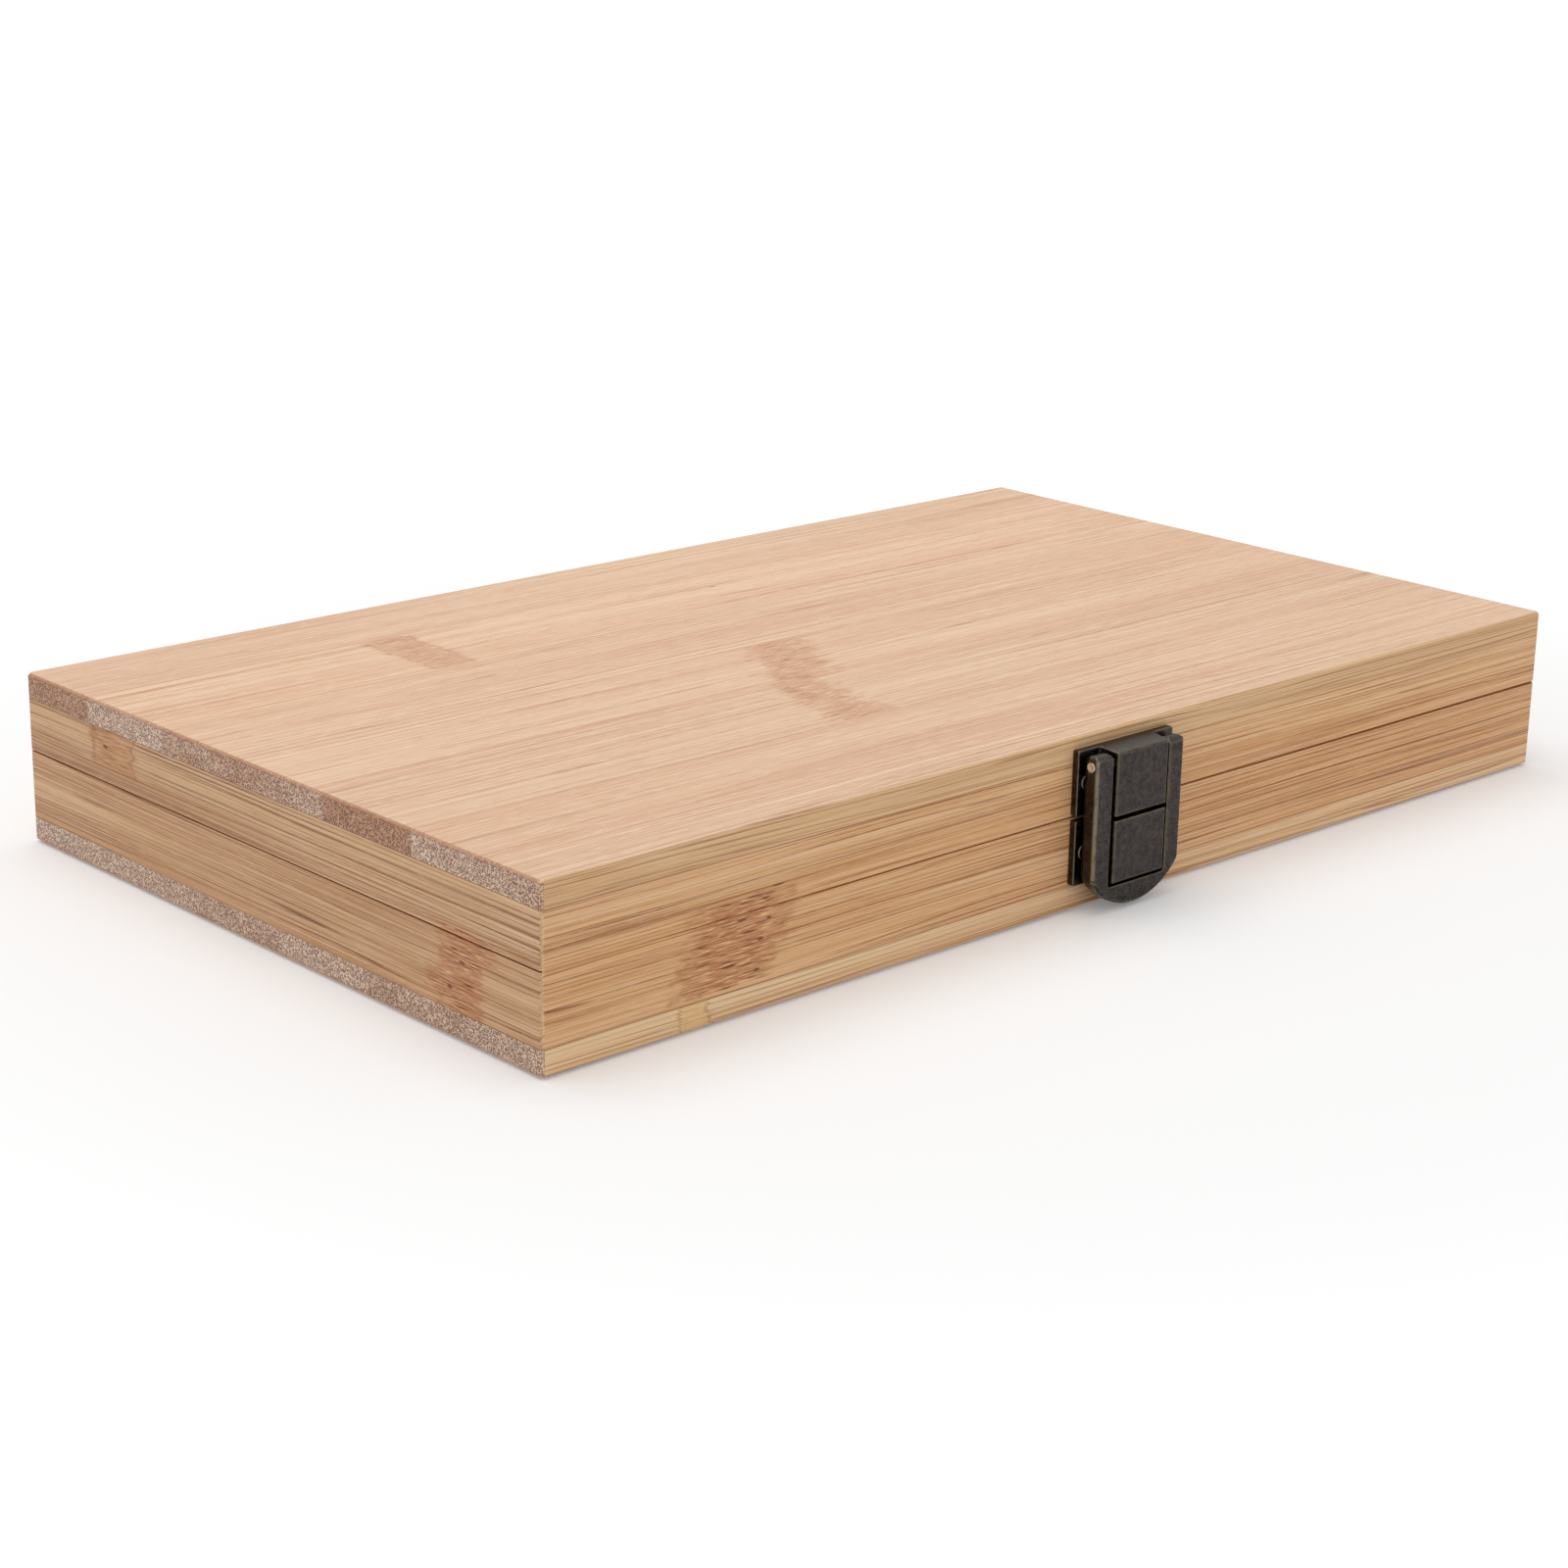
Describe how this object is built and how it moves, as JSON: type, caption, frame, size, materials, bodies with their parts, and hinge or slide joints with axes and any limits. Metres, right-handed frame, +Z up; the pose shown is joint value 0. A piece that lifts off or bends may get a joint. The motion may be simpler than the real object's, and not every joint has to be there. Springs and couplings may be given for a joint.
{
  "type": "watercolor palette box",
  "caption": "Flat bamboo box with a hinged lid and a snap latch, holding half pans in troughs, a mixing tray, a brush trough and a sponge compartment.",
  "frame": {"origin": "centre of the wooden underside, at the level it stands on", "axes": "+X along the box to the right when the latch faces the viewer, -Y out of the latch side, +Z up"},
  "size_m": [0.24, 0.1483, 0.03],
  "materials": {
    "bamboo": "satin",
    "bronze": "dark antique bronze, worn on its edges",
    "steel": "satin",
    "white_plastic": "gloss"
  },
  "bodies": {
    "base": {"base_bottom_panel": "bamboo", "base_front_wall": "bamboo", "base_back_wall": "bamboo", "base_left_wall": "bamboo", "base_right_wall": "bamboo", "front_rail": "bamboo", "middle_rail": "bamboo", "back_rail": "bamboo", "pan_divider": "bamboo", "half_pan_01": "white_plastic", "half_pan_02": "white_plastic", "half_pan_03": "white_plastic", "half_pan_04": "white_plastic", "half_pan_05": "white_plastic", "half_pan_06": "white_plastic", "half_pan_07": "white_plastic", "half_pan_08": "white_plastic", "half_pan_09": "white_plastic", "half_pan_10": "white_plastic", "half_pan_11": "white_plastic", "half_pan_12": "white_plastic", "half_pan_13": "white_plastic", "half_pan_14": "white_plastic", "half_pan_15": "white_plastic", "half_pan_16": "white_plastic", "half_pan_17": "white_plastic", "half_pan_18": "white_plastic", "half_pan_19": "white_plastic", "half_pan_20": "white_plastic", "half_pan_21": "white_plastic", "half_pan_22": "white_plastic", "half_pan_23": "white_plastic", "half_pan_24": "white_plastic", "mixing_tray": "white_plastic", "latch_base_plate": "bronze", "latch_base_nails": "bronze", "left_hinge_base_leaf": "bronze", "left_hinge_base_nails": "bronze", "left_hinge_pin": "steel", "right_hinge_base_leaf": "bronze", "right_hinge_base_nails": "bronze", "right_hinge_pin": "steel"},
    "lid": {"lid_top_panel": "bamboo", "lid_front_wall": "bamboo", "lid_back_wall": "bamboo", "lid_left_wall": "bamboo", "lid_right_wall": "bamboo", "latch_lid_plate": "bronze", "latch_lid_nails": "bronze", "latch_pin": "steel", "left_hinge_lid_leaf": "bronze", "left_hinge_lid_nails": "bronze", "right_hinge_lid_leaf": "bronze", "right_hinge_lid_nails": "bronze"},
    "clasp": {"latch_clasp": "bronze"}
  },
  "joints": [
    {"name": "lid_hinge", "type": "hinge", "parent": "base", "child": "lid", "pos_m": [0, 0.07155, 0.01632], "axis": [-1, 0, 0], "range_deg": [0, 180]},
    {"name": "clasp_hinge", "type": "hinge", "parent": "lid", "child": "clasp", "pos_m": [0.0015, -0.0733, 0.0255], "axis": [-1, 0, 0], "range_deg": [0, 180]}
  ]
}
